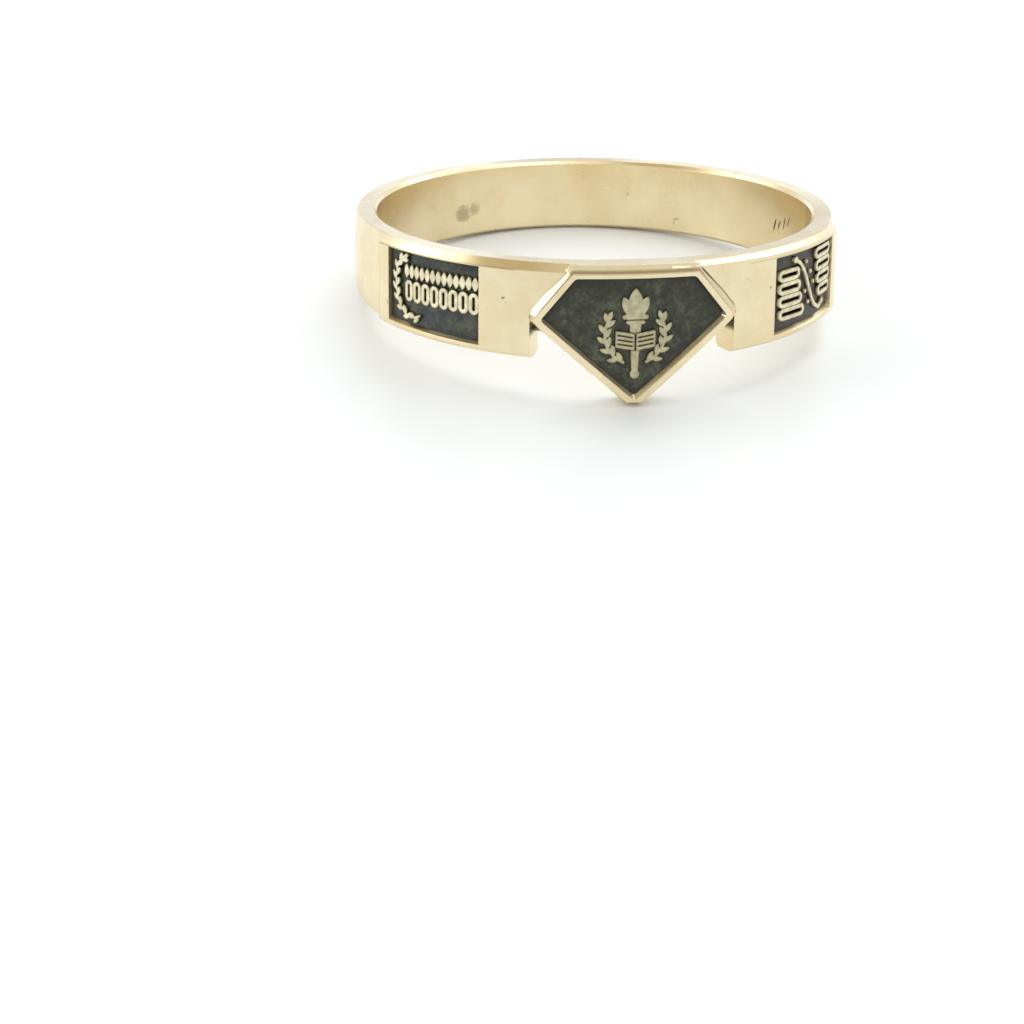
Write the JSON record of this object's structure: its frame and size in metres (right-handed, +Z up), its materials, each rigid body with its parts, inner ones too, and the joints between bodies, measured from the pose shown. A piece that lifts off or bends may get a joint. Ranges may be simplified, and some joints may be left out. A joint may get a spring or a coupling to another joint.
{
  "type": "class ring",
  "caption": "Cast gold class ring with a plain tapered band, flat shoulders with sunken black panels, and a shield-shaped head whose black field carries a low relief.",
  "frame": {"origin": "centre of the footprint of the resting ring, on the table", "axes": "+Z up from the table, the head faces -Y, the wearer's left and right of the head are -X and +X; the finger hole leans back by 7.8 degrees because the ring rests on the tip of its head and on the lower edge of its back"},
  "size_m": [0.0198, 0.0204, 0.0056],
  "materials": {
    "gold": "softly polished pale yellow gold with fine wear",
    "crest_fill": "mottled olive-black fill",
    "left_fill": "mottled blue-grey black fill",
    "right_fill": "mottled purple-black fill"
  },
  "bodies": {
    "root": {"shank": "gold", "crest_enamel": "crest_fill", "left_panel_enamel": "left_fill", "right_panel_enamel": "right_fill"}
  },
  "joints": []
}
